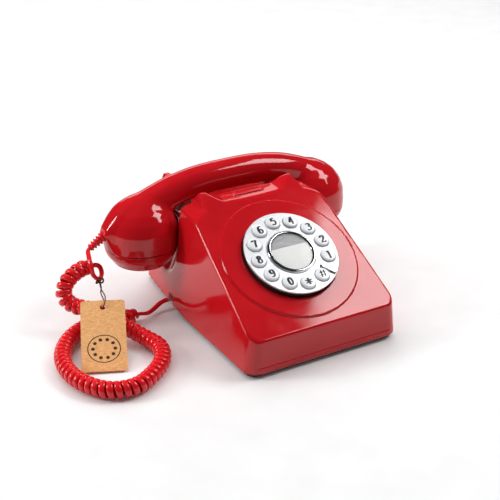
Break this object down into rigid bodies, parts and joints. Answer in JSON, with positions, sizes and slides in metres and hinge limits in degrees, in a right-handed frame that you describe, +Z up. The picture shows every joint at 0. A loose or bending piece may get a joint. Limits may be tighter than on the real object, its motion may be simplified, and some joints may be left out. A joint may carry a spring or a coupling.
{
  "type": "desk telephone",
  "caption": "Desk telephone with a wedge case, push buttons in a ring like a dial, a lift-off handset on a cradle, a curly cord and a swing tag.",
  "frame": {"origin": "on the desk surface, under the middle of the telephone's outline without its cord", "axes": "+X to the telephone's right along the handset, +Y from the front lip to the back, +Z up"},
  "size_m": [0.3118, 0.208, 0.116],
  "materials": {
    "red_plastic": "polished",
    "cord_plastic": "smooth",
    "black_plastic": "moulded",
    "grey_plastic": "translucent grey",
    "rubber": "moulded",
    "steel": "plated",
    "silver_plate": "satin",
    "silver_key": "metallised, satin",
    "chrome": "polished",
    "label_paper": "printed",
    "clear_plastic": "clear",
    "circuit_board": "lacquered",
    "gong_brass": "satin",
    "coil_copper": "wound wire",
    "kraft_card": "uncoated",
    "twine": "twisted"
  },
  "bodies": {
    "phone": {"upper_case": "red_plastic", "cord_curl": "cord_plastic", "cord_lead_base": "cord_plastic", "base_plate": "black_plastic", "dial_cup": "black_plastic", "handset_socket": "black_plastic", "line_socket": "black_plastic", "hook_switch": "black_plastic", "foot_front_left": "rubber", "foot_front_right": "rubber", "foot_rear_left": "rubber", "foot_rear_right": "rubber", "keypad_membrane": "rubber", "case_screw_front_left": "steel", "case_screw_front_right": "steel", "case_screw_rear_left": "steel", "case_screw_rear_right": "steel", "ballast_plate": "steel", "ringer_bracket": "steel", "gong_screw_left": "steel", "gong_screw_right": "steel", "hook_bracket": "steel", "dial_plate": "silver_plate", "label_bezel": "chrome", "finger_stop": "chrome", "label_card": "label_paper", "label_window": "clear_plastic", "cord_plug": "clear_plastic", "keypad_board": "circuit_board", "main_board": "circuit_board", "gong_left": "gong_brass", "gong_right": "gong_brass", "ringer_coil": "coil_copper"},
    "handset": {"handset_shell": "red_plastic", "mouthpiece_cap": "red_plastic", "earpiece_cap": "red_plastic", "microphone": "steel", "speaker": "steel", "handset_weight": "steel", "strain_relief": "cord_plastic", "cord_lead_handset": "cord_plastic", "tag_card": "kraft_card", "tag_string": "twine"},
    "hook": {"hook_bar": "steel", "plunger_left": "grey_plastic", "plunger_right": "grey_plastic"},
    "clapper": {"clapper": "steel"},
    "button_1": {"button_1": "silver_key"},
    "button_2": {"button_2": "silver_key"},
    "button_3": {"button_3": "silver_key"},
    "button_4": {"button_4": "silver_key"},
    "button_5": {"button_5": "silver_key"},
    "button_6": {"button_6": "silver_key"},
    "button_7": {"button_7": "silver_key"},
    "button_8": {"button_8": "silver_key"},
    "button_9": {"button_9": "silver_key"},
    "button_0": {"button_0": "silver_key"},
    "button_star": {"button_star": "silver_key"},
    "button_hash": {"button_hash": "silver_key"}
  },
  "joints": [
    {"name": "handset_lift", "type": "slide", "parent": "phone", "child": "handset", "axis": [0, 0, 1], "range_m": [0, 0.09]},
    {"name": "hook_rise", "type": "slide", "parent": "phone", "child": "hook", "axis": [0, 0, 1], "range_m": [0, 0.0045]},
    {"name": "clapper_swing", "type": "hinge", "parent": "phone", "child": "clapper", "pos_m": [0, 0.071, 0.036], "axis": [0, 0, 1], "range_deg": [-2.4, 2.4], "stiffness_Nm_per_rad": 0.002},
    {"name": "button_1_press", "type": "slide", "parent": "phone", "child": "button_1", "axis": [0, 0.503, -0.8643], "range_m": [0, 0.001], "stiffness_N_per_m": 600, "springref_m": -0.0004},
    {"name": "button_2_press", "type": "slide", "parent": "phone", "child": "button_2", "axis": [0, 0.503, -0.8643], "range_m": [0, 0.001], "stiffness_N_per_m": 600, "springref_m": -0.0004},
    {"name": "button_3_press", "type": "slide", "parent": "phone", "child": "button_3", "axis": [0, 0.503, -0.8643], "range_m": [0, 0.001], "stiffness_N_per_m": 600, "springref_m": -0.0004},
    {"name": "button_4_press", "type": "slide", "parent": "phone", "child": "button_4", "axis": [0, 0.503, -0.8643], "range_m": [0, 0.001], "stiffness_N_per_m": 600, "springref_m": -0.0004},
    {"name": "button_5_press", "type": "slide", "parent": "phone", "child": "button_5", "axis": [0, 0.503, -0.8643], "range_m": [0, 0.001], "stiffness_N_per_m": 600, "springref_m": -0.0004},
    {"name": "button_6_press", "type": "slide", "parent": "phone", "child": "button_6", "axis": [0, 0.503, -0.8643], "range_m": [0, 0.001], "stiffness_N_per_m": 600, "springref_m": -0.0004},
    {"name": "button_7_press", "type": "slide", "parent": "phone", "child": "button_7", "axis": [0, 0.503, -0.8643], "range_m": [0, 0.001], "stiffness_N_per_m": 600, "springref_m": -0.0004},
    {"name": "button_8_press", "type": "slide", "parent": "phone", "child": "button_8", "axis": [0, 0.503, -0.8643], "range_m": [0, 0.001], "stiffness_N_per_m": 600, "springref_m": -0.0004},
    {"name": "button_9_press", "type": "slide", "parent": "phone", "child": "button_9", "axis": [0, 0.503, -0.8643], "range_m": [0, 0.001], "stiffness_N_per_m": 600, "springref_m": -0.0004},
    {"name": "button_0_press", "type": "slide", "parent": "phone", "child": "button_0", "axis": [0, 0.503, -0.8643], "range_m": [0, 0.001], "stiffness_N_per_m": 600, "springref_m": -0.0004},
    {"name": "button_star_press", "type": "slide", "parent": "phone", "child": "button_star", "axis": [0, 0.503, -0.8643], "range_m": [0, 0.001], "stiffness_N_per_m": 600, "springref_m": -0.0004},
    {"name": "button_hash_press", "type": "slide", "parent": "phone", "child": "button_hash", "axis": [0, 0.503, -0.8643], "range_m": [0, 0.001], "stiffness_N_per_m": 600, "springref_m": -0.0004}
  ],
  "couplings": [
    {"joint": "hook_rise", "follows": "handset_lift", "ratio": 0.05}
  ]
}
